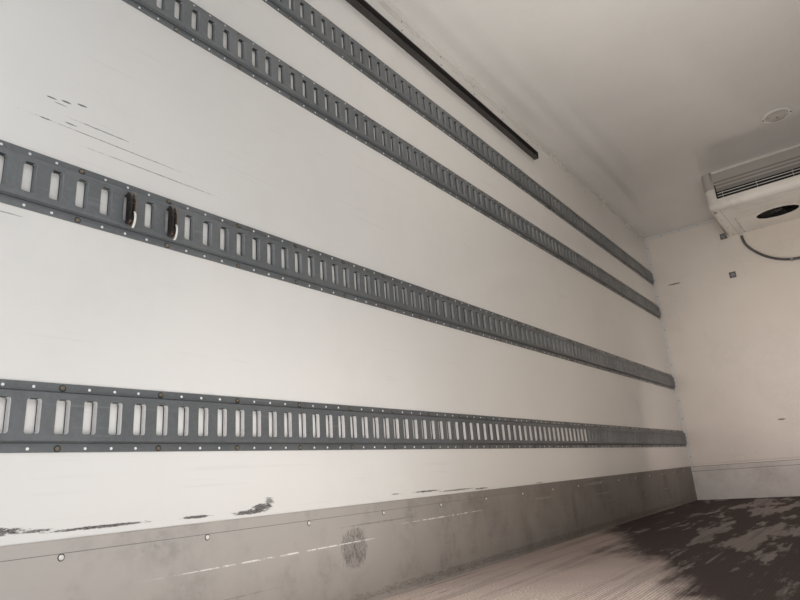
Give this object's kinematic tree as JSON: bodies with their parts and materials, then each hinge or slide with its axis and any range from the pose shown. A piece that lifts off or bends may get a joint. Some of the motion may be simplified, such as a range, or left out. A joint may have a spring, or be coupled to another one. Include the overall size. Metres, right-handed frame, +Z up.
{
  "type": "insulated refrigerated truck load body",
  "caption": "Insulated refrigerated box body for a truck: slotted cargo rails, scuff plates, ceiling evaporator, nose cooling unit, swing rear doors and steel underframe.",
  "frame": {"origin": "centre of the overall box in plan, at the underside of the two long sills", "axes": "+Y forward towards the cab, +X to the right, +Z up"},
  "size_m": [2.8872, 5.9864, 2.6491],
  "materials": {
    "panel_skin": "glossy white reinforced plastic skin",
    "aluminium": "mill finish aluminium, scuffed",
    "scuff_metal": "worn grey aluminium plate",
    "galvanised_rail": "blue-grey galvanised sheet steel",
    "frame_steel": "stainless steel sheet",
    "underframe_paint": "black chassis paint",
    "tread_metal": "dirty tread plate",
    "white_trim": "white trim",
    "channel_steel": "dark steel channel",
    "evaporator_plastic": "cream-white moulded housing",
    "grille_wire": "dark coated guard",
    "coil_fins": "dark finned coil",
    "fan_plastic": "black fan plastic",
    "hose_grey": "grey drain hose",
    "unit_white": "white coated cover",
    "seal_rubber": "black door seal",
    "zinc_hardware": "zinc plated forgings",
    "bumper_rubber": "black rubber block",
    "red_lens": "red lens",
    "amber_lens": "amber lens",
    "lamp_lens": "frosted white lamp lens",
    "fitting_steel": "dark rusty spring steel"
  },
  "bodies": {
    "box": {"longsill_left": "underframe_paint", "longsill_right": "underframe_paint", "crossmembers": "underframe_paint", "floor_panel": "panel_skin", "tread_floor": "tread_metal", "side_wall_left": "panel_skin", "side_wall_right": "panel_skin", "front_wall": "panel_skin", "roof_panel": "panel_skin", "top_rail": "aluminium", "bottom_rail": "aluminium", "corner_posts": "aluminium", "rear_frame": "frame_steel", "hinge_brackets_left": "zinc_hardware", "hinge_brackets_right": "zinc_hardware", "lock_keepers": "zinc_hardware", "cargo_rails_left": "galvanised_rail", "cargo_rails_right": "galvanised_rail", "scuff_plate_left": "scuff_metal", "scuff_plate_right": "scuff_metal", "kick_plate": "scuff_metal", "ceiling_channel_left": "channel_steel", "ceiling_channel_right": "channel_steel", "corner_trims": "white_trim", "ceiling_lamp": "lamp_lens", "evaporator_housing": "evaporator_plastic", "evaporator_grille": "grille_wire", "evaporator_frame": "coil_fins", "drain_elbow": "hose_grey", "drain_hose": "hose_grey", "backing_plates": "galvanised_rail", "rail_fittings": "fitting_steel", "nose_unit_housing": "unit_white", "condenser": "coil_fins", "fan_guards": "grille_wire", "dock_bumpers": "bumper_rubber", "tail_lamps": "red_lens", "rear_markers": "red_lens", "front_markers": "amber_lens"},
    "left_door": {"door_left": "panel_skin", "door_gasket_left": "seal_rubber", "hinge_straps_left": "zinc_hardware", "lock_gear_left": "zinc_hardware"},
    "right_door": {"door_right": "panel_skin", "door_gasket_right": "seal_rubber", "hinge_straps_right": "zinc_hardware", "lock_gear_right": "zinc_hardware"},
    "left_evaporator_fan": {"evaporator_fan_left": "fan_plastic"},
    "right_evaporator_fan": {"evaporator_fan_right": "fan_plastic"},
    "left_condenser_fan": {"condenser_fan_left": "fan_plastic"},
    "right_condenser_fan": {"condenser_fan_right": "fan_plastic"}
  },
  "joints": [
    {"name": "left_door_swing", "type": "hinge", "parent": "box", "child": "left_door", "pos_m": [-1.3256, -2.9612, 1.4], "axis": [0, 0, 1], "range_deg": [0, 270]},
    {"name": "right_door_swing", "type": "hinge", "parent": "box", "child": "right_door", "pos_m": [1.3256, -2.9612, 1.4], "axis": [0, 0, 1], "range_deg": [-270, 0]},
    {"name": "left_evaporator_fan_spin", "type": "hinge", "parent": "box", "child": "left_evaporator_fan", "pos_m": [-0.157, 2.0486, 2.32371], "axis": [0, -0.0904, 0.9959], "continuous": true},
    {"name": "right_evaporator_fan_spin", "type": "hinge", "parent": "box", "child": "right_evaporator_fan", "pos_m": [0.157, 2.0486, 2.32371], "axis": [0, -0.0904, 0.9959], "continuous": true},
    {"name": "left_condenser_fan_spin", "type": "hinge", "parent": "box", "child": "left_condenser_fan", "pos_m": [-0.37, 2.9632, 2.2295], "axis": [0, 1, 0], "continuous": true},
    {"name": "right_condenser_fan_spin", "type": "hinge", "parent": "box", "child": "right_condenser_fan", "pos_m": [0.37, 2.9632, 2.2295], "axis": [0, 1, 0], "continuous": true}
  ]
}
